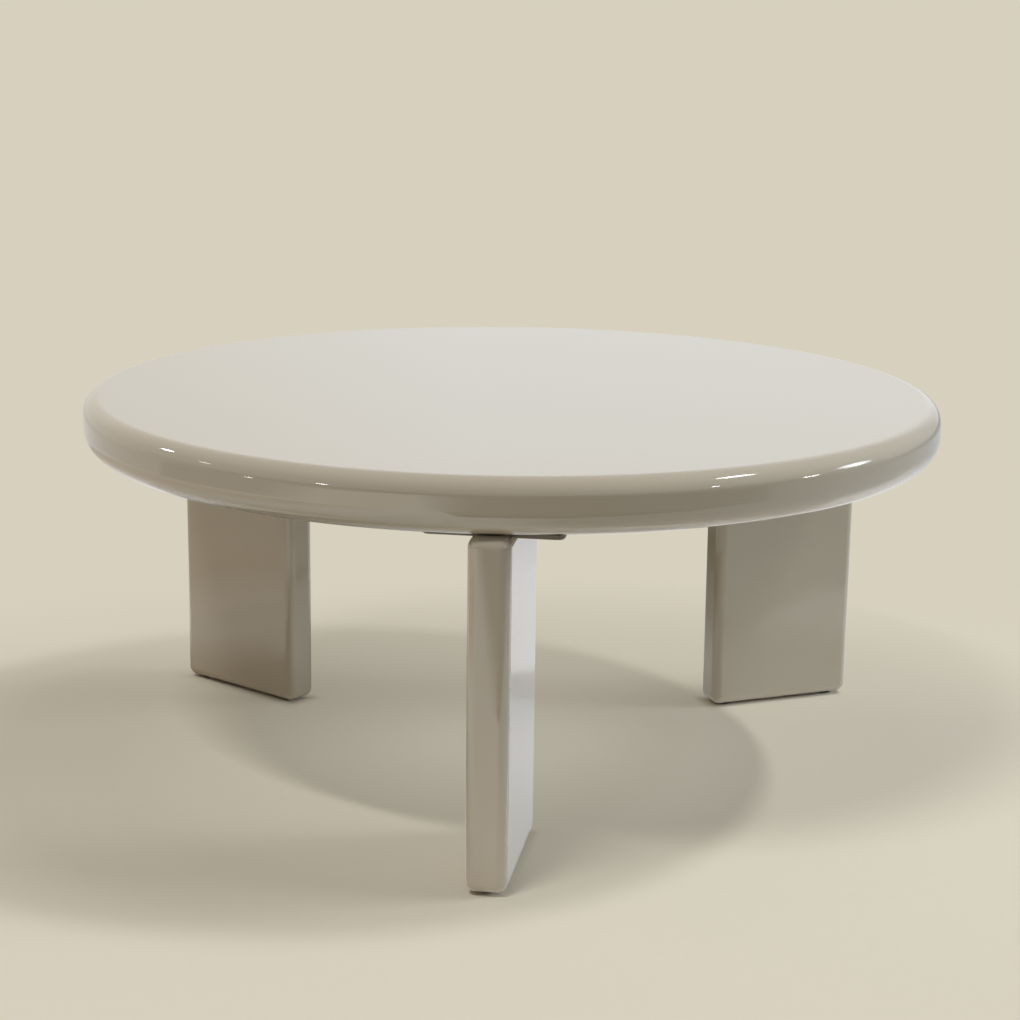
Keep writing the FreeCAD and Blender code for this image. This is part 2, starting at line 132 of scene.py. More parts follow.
def makeCoatGroup():
    tree, start, end = newGroup(
        "sprayedCoat",
        [("Colour", "NodeSocketColor", (0.5, 0.5, 0.5, 1)), ("Tone Drift", "NodeSocketFloat", 0.04),
         ("Gloss Low", "NodeSocketFloat", 0.04), ("Gloss High", "NodeSocketFloat", 0.08),
         ("Dust", "NodeSocketFloat", 0.1), ("Peel Scale", "NodeSocketFloat", 260.0)],
        [("Colour", "NodeSocketColor"), ("Roughness", "NodeSocketFloat"), ("Peel", "NodeSocketFloat")])
    links = tree.links
    given = start.outputs
    coords = objectCoords(tree, (-900, 300))
    drift = noiseAt(tree, (-600, 300), coords, coatEffect["driftScale"], detail=4.0, roughness=0.55)
    low = mathNode(tree, (-420, 480), "SUBTRACT", 1.0, given["Tone Drift"])
    high = mathNode(tree, (-420, 300), "ADD", 1.0, given["Tone Drift"])
    tone = mapRange(tree, (-240, 300), drift, *coatEffect["driftRange"], low, high)
    toned = addNode(tree, "ShaderNodeVectorMath", (-60, 300), operation="SCALE")
    links.new(given["Colour"], toned.inputs[0])
    links.new(tone, toned.inputs["Scale"])

    # specks of settled dust, rare and pale
    speck = addNode(tree, "ShaderNodeTexVoronoi", (-600, 0), feature="F1")
    speck.inputs["Scale"].default_value = coatEffect["speckScale"]
    links.new(coords, speck.inputs["Vector"])
    near = mapRange(tree, (-420, 0), speck.outputs["Distance"], *coatEffect["speckReach"], 1.0, 0.0)
    field = noiseAt(tree, (-600, -180), coords, coatEffect["patchScale"], detail=2.0, roughness=0.5)
    patch = mapRange(tree, (-420, -240), field, *coatEffect["patchRange"], 0.0, 1.0)
    specks = mathNode(tree, (-240, -60), "MULTIPLY", near, patch)
    dust = mathNode(tree, (-60, -60), "MULTIPLY", specks, given["Dust"])
    dusty = mixColours(tree, (200, 240), dust, toned.outputs[0], coatEffect["speckColour"])
    links.new(dusty, end.inputs["Colour"])

    # long wipe smears change the gloss a little
    stretch = addNode(tree, "ShaderNodeMapping", (-780, -480))
    stretch.inputs["Scale"].default_value = coatEffect["smearStretch"]
    stretch.inputs["Rotation"].default_value = (0.0, 0.0, coatEffect["smearTurn"])
    links.new(coords, stretch.inputs["Vector"])
    smear = noiseAt(tree, (-540, -480), stretch.outputs["Vector"], coatEffect["smearScale"],
                    detail=5.0, roughness=0.6)
    gloss = mapRange(tree, (-300, -480), smear, *coatEffect["smearRange"],
                     given["Gloss Low"], given["Gloss High"])
    links.new(mathNode(tree, (200, -240), "ADD", gloss, dust), end.inputs["Roughness"])

    # orange peel: a fine ripple on a slow swell
    ripple = noiseAt(tree, (-540, -780), coords, given["Peel Scale"], detail=1.0, roughness=0.4)
    swell = noiseAt(tree, (-540, -1080), coords, coatEffect["swellScale"], detail=1.0, roughness=0.4)
    swollen = mathNode(tree, (-300, -1080), "MULTIPLY", swell, coatEffect["swellHeight"])
    links.new(mathNode(tree, (0, -840), "ADD", ripple, swollen), end.inputs["Peel"])
    return tree


# dull spots and fine grain of plated metal
metalEffect = {"spotScale": 90.0, "spotRange": (0.5, 0.72), "glossRange": (0.3, 0.7), "grainScale": 1400.0}


def makeMetalGroup():
    tree, start, end = newGroup(
        "platedMetal",
        [("Colour", "NodeSocketColor", (0.5, 0.5, 0.5, 1)),
         ("Stain", "NodeSocketColor", (0.3, 0.28, 0.22, 1)), ("Stain Amount", "NodeSocketFloat", 0.3),
         ("Gloss Low", "NodeSocketFloat", 0.25), ("Gloss High", "NodeSocketFloat", 0.45)],
        [("Colour", "NodeSocketColor"), ("Roughness", "NodeSocketFloat"), ("Grain", "NodeSocketFloat")])
    links = tree.links
    given = start.outputs
    coords = objectCoords(tree, (-900, 300))
    cloud = noiseAt(tree, (-600, 300), coords, metalEffect["spotScale"], detail=4.0, roughness=0.6)
    spots = mapRange(tree, (-420, 300), cloud, *metalEffect["spotRange"], 0.0, 1.0)
    amount = mathNode(tree, (-240, 300), "MULTIPLY", spots, given["Stain Amount"])
    stained = mixColours(tree, (0, 300), amount, given["Colour"], given["Stain"])
    links.new(stained, end.inputs["Colour"])
    gloss = mapRange(tree, (-240, -60), cloud, *metalEffect["glossRange"],
                     given["Gloss Low"], given["Gloss High"])
    links.new(gloss, end.inputs["Roughness"])
    grain = noiseAt(tree, (-600, -60), coords, metalEffect["grainScale"], detail=2.0, roughness=0.6)
    links.new(grain, end.inputs["Grain"])
    return tree


# fibre flecks of pressed board, and the tooth that a thin sealer leaves
boardEffect = {"fibreScale": 520.0, "fleckRange": (0.5, 0.66), "fleckLow": 0.5,
               "cloudScale": 7.0, "cloudRange": (0.3, 0.7), "roughness": (0.5, 0.68)}


def makeBoardGroup():
    tree, start, end = newGroup(
        "pressedBoard",
        [("Colour", "NodeSocketColor", (0.4, 0.3, 0.2, 1)), ("Fleck", "NodeSocketColor", (0.2, 0.15, 0.1, 1)),
         ("Fleck Amount", "NodeSocketFloat", 0.4)],
        [("Colour", "NodeSocketColor"), ("Roughness", "NodeSocketFloat"), ("Tooth", "NodeSocketFloat")])
    links = tree.links
    given = start.outputs
    coords = objectCoords(tree, (-900, 300))
    fibre = noiseAt(tree, (-600, 300), coords, boardEffect["fibreScale"], detail=6.0, roughness=0.7)
    flecks = mapRange(tree, (-420, 300), fibre, *boardEffect["fleckRange"], 0.0, 1.0)
    cloud = noiseAt(tree, (-600, 0), coords, boardEffect["cloudScale"], detail=3.0, roughness=0.5)
    drift = mapRange(tree, (-420, 0), cloud, *boardEffect["cloudRange"], boardEffect["fleckLow"], 1.0)
    amount = mathNode(tree, (-240, 200), "MULTIPLY", flecks, drift)
    scaled = mathNode(tree, (-60, 200), "MULTIPLY", amount, given["Fleck Amount"])
    links.new(mixColours(tree, (160, 260), scaled, given["Colour"], given["Fleck"]), end.inputs["Colour"])
    rough = mapRange(tree, (-240, -60), cloud, *boardEffect["cloudRange"], *boardEffect["roughness"])
    links.new(rough, end.inputs["Roughness"])
    links.new(fibre, end.inputs["Tooth"])
    return tree


coatGroup = makeCoatGroup()
metalGroup = makeMetalGroup()
boardGroup = makeBoardGroup()
print("shared effects made")


# materials

def newMaterial(name):
    material = bpy.data.materials.new(name)
    material.use_nodes = True
    return material, material.node_tree, material.node_tree.nodes["Principled BSDF"]


# a shared effect gives a finish its colour, roughness and relief
def placeEffect(tree, shader, group, values, relief, strength, depth):
    effect = addNode(tree, "ShaderNodeGroup", (-700, 200), node_tree=group)
    for name, value in values.items():
        effect.inputs[name].default_value = value
    tree.links.new(effect.outputs["Colour"], shader.inputs["Base Color"])
    tree.links.new(effect.outputs["Roughness"], shader.inputs["Roughness"])
    bump = addNode(tree, "ShaderNodeBump", (-260, -240))
    bump.inputs["Strength"].default_value = strength
    bump.inputs["Distance"].default_value = depth
    tree.links.new(effect.outputs[relief], bump.inputs["Height"])
    tree.links.new(bump.outputs["Normal"], shader.inputs["Normal"])


def coatFinish(name, look):
    material, tree, shader = newMaterial(name)
    values = {"Colour": look["colour"], "Tone Drift": look["toneDrift"], "Gloss Low": look["glossLow"],
              "Gloss High": look["glossHigh"], "Dust": look["dust"], "Peel Scale": look["peelScale"]}
    placeEffect(tree, shader, coatGroup, values, "Peel", look["peelStrength"], look["peelDepth"])
    return material, shader


def boardFinish(name, look):
    material, tree, shader = newMaterial(name)
    values = {"Colour": look["colour"], "Fleck": look["fleck"], "Fleck Amount": look["fleckAmount"]}
    placeEffect(tree, shader, boardGroup, values, "Tooth", look["toothStrength"], look["toothDepth"])
    return material


# top and legs
lacquer = {"colour": (0.455, 0.410, 0.331, 1), "toneDrift": 0.018, "glossLow": 0.025, "glossHigh": 0.06,
           "dust": 0.04, "peelScale": 420.0, "peelStrength": 0.018, "peelDepth": 0.0002,
           "ior": 1.5, "coat": 1.0, "coatRoughness": 0.018}


def makeLacquer():
    material, shader = coatFinish("taupeLacquer", lacquer)
    shader.inputs["IOR"].default_value = lacquer["ior"]
    shader.inputs["Coat Weight"].default_value = lacquer["coat"]
    shader.inputs["Coat Roughness"].default_value = lacquer["coatRoughness"]
    return material


# panel under the top
sealer = {"colour": (0.19, 0.17, 0.145, 1), "fleck": (0.12, 0.105, 0.09, 1), "fleckAmount": 0.55,
          "toothStrength": 0.25, "toothDepth": 0.0004}


def makeSealer():
    return boardFinish("undersideSealer", sealer)


# hub, ribs and blocks inside the top
rawBoard = {"colour": (0.50, 0.39, 0.26, 1), "fleck": (0.33, 0.24, 0.15, 1), "fleckAmount": 0.7,
            "toothStrength": 0.4, "toothDepth": 0.0006}


def makeRawBoard():
    return boardFinish("rawBoard", rawBoard)


# mounting plates
powderCoat = {"colour": (0.225, 0.195, 0.162, 1), "toneDrift": 0.06, "glossLow": 0.36, "glossHigh": 0.5,
              "dust": 0.12, "peelScale": 900.0, "peelStrength": 0.35, "peelDepth": 0.0003}


def makePowderCoat():
    return coatFinish("platePowderCoat", powderCoat)[0]


# bolts, screws, inserts and glide stems
zincPlate = {"colour": (0.56, 0.56, 0.55, 1), "stain": (0.36, 0.34, 0.28, 1), "stainAmount": 0.45,
             "glossLow": 0.26, "glossHigh": 0.44, "grainStrength": 0.15, "grainDepth": 0.0001}


def makeZincPlate():
    material, tree, shader = newMaterial("zincPlate")
    values = {"Colour": zincPlate["colour"], "Stain": zincPlate["stain"],
              "Stain Amount": zincPlate["stainAmount"], "Gloss Low": zincPlate["glossLow"],
              "Gloss High": zincPlate["glossHigh"]}
    placeEffect(tree, shader, metalGroup, values, "Grain",
                zincPlate["grainStrength"], zincPlate["grainDepth"])
    shader.inputs["Metallic"].default_value = 1.0
    return material


# bases of the glides
glideNylon = {"colour": (0.022, 0.021, 0.02, 1), "toneDrift": 0.2, "glossLow": 0.42, "glossHigh": 0.6,
              "dust": 0.25, "peelScale": 1200.0, "peelStrength": 0.3, "peelDepth": 0.0002}


def makeGlideNylon():
    return coatFinish("glideNylon", glideNylon)[0]


finishes = {
    "lacquer": makeLacquer(), "underside_coat": makeSealer(), "core_wood": makeRawBoard(),
    "plate_steel": makePowderCoat(), "zinc_steel": makeZincPlate(), "glide_nylon": makeGlideNylon(),
}
for part in frame["record"]["subparts"]:
    mesh = nodes[part["node"]].data
    mesh.materials.clear()
    mesh.materials.append(finishes[part["material_slot"]])
print("materials made:", len(finishes))


# meshes with their true normals, so that the gloss runs clean over every edge

def addPiece(name, points, faces, cornerNormals, slotName, body, *replaced):
    mesh = bpy.data.meshes.new(name)
    mesh.from_pydata(points, [], faces)
    mesh.polygons.foreach_set("use_smooth", [True] * len(mesh.polygons))
    mesh.normals_split_custom_set([normal for corners in cornerNormals for normal in corners])
    mesh.materials.append(finishes[slotName])
    piece = bpy.data.objects.new(name, mesh)
    bpy.context.scene.collection.objects.link(piece)
    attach(piece, body)
    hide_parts(*replaced)


# a profile is a list of stretches; each stretch is a list of (radius, height, normal out, normal up)
def latheProfile(name, stretches, segments, slotName, body, *replaced):
    points, faces, cornerNormals, rings = [], [], [], {}
    turns = [2 * math.pi * step / segments for step in range(segments)]

    # stretches that meet share their ring of points; on the axis a ring is one point
    def ring(radius, height):
        key = (round(radius, 7), round(height, 7))
        if key not in rings:
            first = len(points)
            if radius == 0:
                points.append((0, 0, height))
                rings[key] = [first] * segments
            else:
                points.extend((radius * math.cos(turn), radius * math.sin(turn), height) for turn in turns)
                rings[key] = list(range(first, first + segments))
        return rings[key]

    for stretch in stretches:
        for (r1, h1, out1, up1), (r2, h2, out2, up2) in zip(stretch, stretch[1:]):
            lower = ring(r1, h1)
            upper = ring(r2, h2)
            for step in range(segments):
                other = (step + 1) % segments
                corners = [(lower[step], out1, up1, turns[step]), (lower[other], out1, up1, turns[other]),
                           (upper[other], out2, up2, turns[other]), (upper[step], out2, up2, turns[step])]
                face, normals = [], []
                for point, out, up, turn in corners:
                    if point not in face:
                        face.append(point)
                        normals.append((out * math.cos(turn), out * math.sin(turn), up))
                faces.append(face)
                cornerNormals.append(normals)
    addPiece(name, points, faces, cornerNormals, slotName, body, *replaced)


def arcStretch(radius, height, size, fromAngle, toAngle, steps):
    stretch = []
    for step in range(steps + 1):
        angle = math.radians(fromAngle + (toAngle - fromAngle) * step / steps)
        out, up = math.cos(angle), math.sin(angle)
        stretch.append((radius + size * out, height + size * up, out, up))
    return stretch


def flatStretch(first, last, out, up, steps=1):
    stretch = []
    for step in range(steps + 1):
        share = step / steps
        radius, height = (a + (b - a) * share for a, b in zip(first, last))
        stretch.append((radius, height, out, up))
    return stretch


# the top: upper board and rim ring, flush under one coat
topBoard = {"upperRounding": 0.020, "lowerRounding": 0.028, "rebate": 0.008, "ringWidth": 0.070,
            "segments": 288, "arcSteps": 20, "flatSteps": 6, "undersideSteps": 2}
skinLow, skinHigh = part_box("top_skin")
ringLow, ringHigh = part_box("rim_ring")
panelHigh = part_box("underside_panel")[1].z


def makeTopSkin():
    edge, seam, crown = skinHigh.x, skinLow.z, skinHigh.z
    size, steps = topBoard["upperRounding"], topBoard["arcSteps"]
    stretches = [
        flatStretch((0, seam), (edge, seam), 0, -1, topBoard["flatSteps"]),
        flatStretch((edge, seam), (edge, crown - size), 1, 0),
        arcStretch(edge - size, crown - size, size, 0, 90, steps),
        flatStretch((edge - size, crown), (0, crown), 0, 1, topBoard["flatSteps"]),
    ]
    latheProfile("topSkin", stretches, topBoard["segments"], "lacquer", "table", "top_skin")


def makeRimRing():
    edge, low, seam = ringHigh.x, ringLow.z, ringHigh.z
    size, steps = topBoard["lowerRounding"], topBoard["arcSteps"]
    inner = edge - topBoard["ringWidth"]
    seat = inner + topBoard["rebate"]
    stretches = [
        flatStretch((seat, low), (edge - size, low), 0, -1, topBoard["undersideSteps"]),
        arcStretch(edge - size, low + size, size, -90, 0, steps),
        flatStretch((edge, low + size), (edge, seam), 1, 0),
        flatStretch((edge, seam), (inner, seam), 0, 1),
        flatStretch((inner, seam), (inner, panelHigh), -1, 0),
        flatStretch((inner, panelHigh), (seat, panelHigh), 0, -1),
        flatStretch((seat, panelHigh), (seat, low), -1, 0),
    ]
    latheProfile("rimRing", stretches, topBoard["segments"], "lacquer", "table", "rim_ring")


makeTopSkin()
makeRimRing()
print("top made")


# legs: slabs with every edge and corner rounded, let in for the plate and bored for screws and glides

leg = {"length": 0.196, "width": 0.045, "rounding": 0.012, "firstAngle": -90.0, "turn": -7.8, "inset": 0.008,
       "arcSteps": 10, "rebateLength": 0.147, "screwHole": 0.0062, "screwDepth": 0.061, "screwSpacing": 0.036,
       "screwSteps": (-1.5, -0.5, 0.5, 1.5), "insertBore": 0.0111, "insertDepth": 0.022, "stemBore": 0.0081,
       "stemDepth": 0.034, "glideEnd": 0.024, "boreSides": 32, "overrun": 0.002, "skinLimit": 0.9}
legLow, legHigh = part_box("leg_front")
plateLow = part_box("mounting_plate_front")[0].z


# each side of the slab is a grid whose outer columns bend round the edge
def roundedSlab(halfSize, rounding, steps):
    points, faces, seen = [], [], {}
    angles = [-45 + 45 * step / steps for step in range(steps + 1)]
    columns = [(math.tan(math.radians(a)), -1) for a in angles]
    columns += [(math.tan(math.radians(-a)), 1) for a in reversed(angles)]
    inner = [half - rounding for half in halfSize]

    def corner(axis, side, u, v):
        first, second = (axis + 1) % 3, (axis + 2) % 3
        direction, place = Vector(), Vector()
        direction[axis], direction[first], direction[second] = side, u[0], v[0]
        place[axis] = side * inner[axis]
        place[first] = u[1] * inner[first]
        place[second] = v[1] * inner[second]
        point = place + direction.normalized() * rounding
        key = tuple(round(c, 6) for c in point)
        if key not in seen:
            seen[key] = len(points)
            points.append(point)
        return seen[key]

    for axis in range(3):
        for side in (-1, 1):
            for uStart, uEnd in zip(columns, columns[1:]):
                for vStart, vEnd in zip(columns, columns[1:]):
                    face = [corner(axis, side, uStart, vStart), corner(axis, side, uEnd, vStart),
                            corner(axis, side, uEnd, vEnd), corner(axis, side, uStart, vEnd)]
                    faces.append(face if side > 0 else face[::-1])
    return points, faces


def addBore(shape, x, bottom, top, diameter):
    place = Matrix.Translation((x, 0, (bottom + top) / 2))
    bmesh.ops.create_cone(shape, cap_ends=True, segments=leg["boreSides"], radius1=diameter / 2,
                          radius2=diameter / 2, depth=top - bottom, matrix=place)


# the plate's rebate, four screw holes and two stepped glide bores, in the middle of the slab
def legCutter(half):
    shape = bmesh.new()
    over = leg["overrun"]
    floor = plateLow - (legLow.z + legHigh.z) / 2
    size = (leg["rebateLength"], leg["width"] + 2 * over, half[2] - floor + over)
    place = Matrix.Translation((0, 0, floor + size[2] / 2))
    bmesh.ops.create_cube(shape, size=1.0, matrix=place @ Matrix.Diagonal((*size, 1)))
    for step in leg["screwSteps"]:
        addBore(shape, step * leg["screwSpacing"], floor - leg["screwDepth"], floor + over, leg["screwHole"])
    for side in (-1, 1):
        x = side * (half[0] - leg["glideEnd"])
        addBore(shape, x, -half[2] - over, -half[2] + leg["insertDepth"], leg["insertBore"])
        addBore(shape, x, -half[2] - over / 2, -half[2] + leg["stemDepth"], leg["stemBore"])
    mesh = bpy.data.meshes.new("legCutter")
    shape.to_mesh(mesh)
    shape.free()
    return mesh


def cutSlab(points, faces, cutter):
    blank = bpy.data.meshes.new("legBlank")
    blank.from_pydata(points, [], faces)
    stock = bpy.data.objects.new("legStock", blank)
    tool = bpy.data.objects.new("legTool", cutter)
    for item in (stock, tool):
        bpy.context.scene.collection.objects.link(item)
    cut = stock.modifiers.new("cut", "BOOLEAN")
    cut.operation = "DIFFERENCE"
    cut.solver = "EXACT"
    cut.object = tool
    cut.use_self = True
    result = bpy.data.meshes.new_from_object(stock.evaluated_get(bpy.context.evaluated_depsgraph_get()))
    for item in (stock, tool):
        bpy.data.objects.remove(item)
    return result


# the outer skin gets the slab's true normals, the cut faces stay flat
def slabNormals(mesh, half):
    inner = Vector(half) - Vector([leg["rounding"]] * 3)
    cornerNormals = []
    for face in mesh.polygons:
        corners = []
        for index in face.vertices:
            point = mesh.vertices[index].co
            outward = point - Vector([max(-i, min(i, c)) for c, i in zip(point, inner)])
            outward.normalize()
            onSkin = outward.dot(face.normal) > leg["skinLimit"]
            corners.append(outward if onSkin else face.normal.copy())
        cornerNormals.append(corners)
    return cornerNormals


def legPlace(index):
    circle = skinHigh.x - leg["inset"] - leg["length"] / 2
    angle = math.radians(leg["firstAngle"] + 360 / len(legNames) * index)
    turn = Matrix.Rotation(angle + math.radians(leg["turn"]), 4, "Z")
    middle = (legLow.z + legHigh.z) / 2
    return Matrix.Translation((circle * math.cos(angle), circle * math.sin(angle), middle)) @ turn


def makeLegs():
    half = (leg["length"] / 2, leg["width"] / 2, (legHigh.z - legLow.z) / 2)
    slab = cutSlab(*roundedSlab(half, leg["rounding"], leg["arcSteps"]), legCutter(half))
    faces = [list(face.vertices) for face in slab.polygons]
    normals = slabNormals(slab, half)
    for index, name in enumerate(legNames):
        place = legPlace(index)
        turn = place.to_3x3()
        points = [place @ vertex.co for vertex in slab.vertices]
        turned = [[turn @ normal for normal in corners] for corners in normals]
        addPiece(f"legSlab_{name}", points, faces, turned, "lacquer", "table", f"leg_{name}")
    bpy.data.meshes.remove(slab)


makeLegs()
print("legs made")


# glide stems with a cut thread that runs out at both ends; the profile is (share of a turn, height)
stem = {"major": 0.0040, "minor": 0.00325, "pitch": 0.00125, "sides": 18, "stepsPerTurn": 6, "lead": 0.001,
        "profile": ((0.0, 0.0), (0.25, 0.0), (0.5625, 1.0), (0.6875, 1.0), (1.0, 0.0))}


def threadHeight(phase):
    for (start, low), (end, high) in zip(stem["profile"], stem["profile"][1:]):
        if phase <= end:
            return low + (high - low) * (phase - start) / (end - start)


def threadedRod(low, high):
    sides = stem["sides"]
    centre = (low + high) / 2
    length = high.z - low.z
    rings = round(length / stem["pitch"] * stem["stepsPerTurn"])
    points, faces = [], []
    for ring in range(rings + 1):
        along = length * ring / rings
        lead = min(1.0, along / stem["lead"], (length - along) / stem["lead"])
        for side in range(sides):
            turn = 2 * math.pi * side / sides
            height = threadHeight((along / stem["pitch"] - side / sides) % 1.0) * lead
            radius = stem["minor"] + (stem["major"] - stem["minor"]) * height
            x = centre.x + radius * math.cos(turn)
            y = centre.y + radius * math.sin(turn)
            points.append(Vector((x, y, low.z + along)))
    for ring in range(rings):
        for side in range(sides):
            first, second = ring * sides + side, ring * sides + (side + 1) % sides
            faces.append([first, second, second + sides, first + sides])
    points += [Vector((centre.x, centre.y, low.z)), Vector((centre.x, centre.y, high.z))]
    for side in range(sides):
        other = (side + 1) % sides
        faces.append([other, side, len(points) - 2])
        faces.append([rings * sides + side, rings * sides + other, len(points) - 1])
    return points, faces


def makeStems():
    for name in legNames:
        for side in glideSides:
            points, faces = threadedRod(*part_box(f"glide_stem_{name}_{side}"))
            normals = []
            for face in faces:
                a, b, c = (points[index] for index in face[:3])
                normals.append([(b - a).cross(c - a).normalized()] * len(face))
            addPiece(f"glideThread_{name}_{side}", points, faces, normals, "zinc_steel",
                     f"glide_{name}_{side}", f"glide_stem_{name}_{side}")


makeStems()
print("glide stems made")


# stage: a plain floor that keeps the shadow near the table and runs into the backdrop colour; its glow is
# partly painted light that lightens that shadow

# what camera, bounced light and gloss find there; paper takes shadows, and glow is the plain colour, given
# off by the floor itself; bounced light finds brighter colours than the camera, a painted fill for the table,
# and the gloss finds painted reflections
floorColours = {
    "paper": {"camera": (0.66, 0.625, 0.53, 1), "bounce": (0.84, 0.78, 0.63),
              "mirrored": (0.957, 0.957, 0.965)},
    "glow": {"camera": (0.68, 0.631, 0.515, 1), "bounce": (0.89, 0.825, 0.67),
             "mirrored": (1.0, 1.0, 1.01)},
}
# innerGlow and outerGlow are shares of the floor's glow, painted light that lightens the shadow near the
# table
stageLook = {
    "halfSize": 9.0, "warmTint": (1.0, 0.87, 0.71, 1),
    "innerRadius": 0.08, "outerRadius": 0.50, "innerGlow": 0.51, "outerGlow": 0.10,
    "shadowRadius": 0.62, "blendRadius": 1.1, "backReach": (0.10, 0.85), "contactReach": 0.008,
    "toothScale": 60.0, "toothRange": (0.3, 0.7), "toothLow": 0.985,
}

# for the gloss the floor has painted reflections: a bright zone behind and under the table, a plain part and
# a dark part in front;
# each line goes through a point, and its turn is the way to the bright zone or to the dark part
floorLines = {
    "left": {"point": (-0.5, 0.1), "turn": 90.0}, "right": {"point": (0.5, -0.05), "turn": 73.3},
    "limit": {"point": (0.85, -0.14), "turn": 142.3}, "wedge": {"point": (-0.144, -0.982), "turn": -19.2},
    "front": {"point": (0.0, -1.07), "turn": -90.0},
}
floorLevels = {
    "white": 1.05, "whiteFar": 0.65, "whiteReach": (0.0, 1.2), "nearRadius": 0.53, "blend": 0.025,
    "shaded": 0.2, "shadedStart": (-0.05, -0.35), "shadedEnd": (-0.45, -0.62),
    "backShade": 0.45, "backShadeReach": (0.12, -0.08), "backShadeStart": (0.1, 0.3),
    "plain": 1.03, "plainRight": 0.68, "plainReach": (0.0, 0.15),
    "right": 0.45, "rightReach": (0.6, 2.6),
    "left": 0.68, "leftReach": (-0.65, -1.0), "leftLimit": (1.5, 1.85),
    "farDark": 0.38, "farBright": 0.63, "farStep": (-0.05, 0.07), "farReach": (-1.55, -1.95), "farWarm": 0.5,
    "dark": 0.15, "edgeReach": (-1.95, -2.3), "edgeBlend": (0.008, 0.35),
    "bounceReach": (0.6, 1.1), "bounceFar": 0.5, "bounceDark": 0.4,
}


# distance from a line, above 0 on the side that its turn points to
def lineField(tree, place, coords, line):
    turn = math.radians(line["turn"])
    way = (math.cos(turn), math.sin(turn))
    field = addNode(tree, "ShaderNodeVectorMath", place, operation="DOT_PRODUCT")
    field.inputs[1].default_value = (*way, 0)
    tree.links.new(coords, field.inputs[0])
    offset = way[0] * line["point"][0] + way[1] * line["point"][1]
    return mathNode(tree, (place[0] + 180, place[1]), "SUBTRACT", field.outputs["Value"], offset)


# painted reflection: the bright zone dims far behind, in a painted shaded band left of the middle, and less
# on the left behind the table
def brightReflectionLevel(tree, x, y):
    levels = floorLevels
    white = mapRange(tree, (-1100, -1500), y, *levels["whiteReach"], levels["white"], levels["whiteFar"])
    band = mapRange(tree, (-1100, -1800), x, *levels["shadedStart"], 1.0, levels["shaded"])
    band = mapRange(tree, (-900, -1800), x, *levels["shadedEnd"], band, 1.0)
    white = mathNode(tree, (-700, -1650), "MULTIPLY", white, band)
    back = mapRange(tree, (-1100, -2100), x, *levels["backShadeReach"], 1.0, levels["backShade"])
    back = mapRange(tree, (-900, -2100), y, *levels["backShadeStart"], 1.0, back)
    back = mapRange(tree, (-700, -2100), x, *levels["shadedEnd"], back, 1.0)
    return mathNode(tree, (-500, -1800), "MULTIPLY", white, back)


# level of the floor's painted reflection for gloss and of its painted fill for bounced light, and how warm
# the gloss finds it
def floorLevel(tree, coords, away):
    levels = floorLevels
    blend = levels["blend"]
    fields = {name: lineField(tree, (-1500, -300 * step), coords, line)
              for step, (name, line) in enumerate(floorLines.items())}
    split = addNode(tree, "ShaderNodeSeparateXYZ", (-1500, -1600))
    tree.links.new(coords, split.inputs[0])
    x, y = split.outputs["X"], split.outputs["Y"]
    behind = mathNode(tree, (-1100, 0), "MAXIMUM", fields["left"], fields["right"])
    brightReflection = mathNode(tree, (-1100, -200), "MINIMUM", behind, fields["limit"])
    near = mathNode(tree, (-1100, -400), "SUBTRACT", levels["nearRadius"], away)
    onBrightReflection = mathNode(tree, (-900, -300), "MAXIMUM", brightReflection, near)
    plain = mapRange(tree, (-900, -1200), x, *levels["plainReach"], levels["plain"], levels["plainRight"])
    lit = mapRange(tree, (-700, -300), onBrightReflection, -blend, blend, plain, brightReflectionLevel(tree, x, y))

    # painted reflection: both sides are dimmer, the left one is warm, and far to the left a dark part meets a
    # brighter one
    rightShare = mapRange(tree, (-1100, -2400), x, *levels["rightReach"], 1.0, levels["right"])
    onLeft = mapRange(tree, (-1300, -2700), x, *levels["leftReach"], 0.0, 1.0)
    closeLeft = mapRange(tree, (-1100, -2700), away, *levels["leftLimit"], onLeft, 0.0)
    leftShare = mapRange(tree, (-900, -2700), closeLeft, 0.0, 1.0, 1.0, levels["left"])
    sides = mathNode(tree, (-700, -2400), "MULTIPLY", rightShare, leftShare)
    lit = mathNode(tree, (-500, -300), "MULTIPLY", lit, sides)
    farLevel = mapRange(tree, (-900, -3000), y, *levels["farStep"], levels["farDark"], levels["farBright"])
    far = mapRange(tree, (-900, -3300), x, *levels["farReach"], 0.0, 1.0)
    lit = mapRange(tree, (-300, -300), far, 0.0, 1.0, lit, farLevel)
    farWarm = mathNode(tree, (-900, -3600), "MULTIPLY", onLeft, levels["farWarm"])
    warm = mathNode(tree, (-700, -3600), "MAXIMUM", farWarm, closeLeft)

    # the painted dark reflection in front begins sharply near the table and softly far out; the painted fill
    # of bounced light is dimmer there too
    ahead = mathNode(tree, (-1100, -700), "MINIMUM", fields["wedge"], fields["front"])
    edge = mapRange(tree, (-900, -700), y, *levels["edgeReach"], *levels["edgeBlend"])
    start = mathNode(tree, (-700, -700), "MULTIPLY", edge, -1.0)
    glossLevel = mapRange(tree, (-100, -600), ahead, start, edge, lit, levels["dark"])
    outer = mapRange(tree, (-700, -950), away, *levels["bounceReach"], 1.0, levels["bounceFar"])
    dimmed = mathNode(tree, (-500, -950), "MULTIPLY", outer, levels["bounceDark"])
    bounceLevel = mapRange(tree, (-300, -950), ahead, -blend, blend, outer, dimmed)
    return glossLevel, bounceLevel, warm
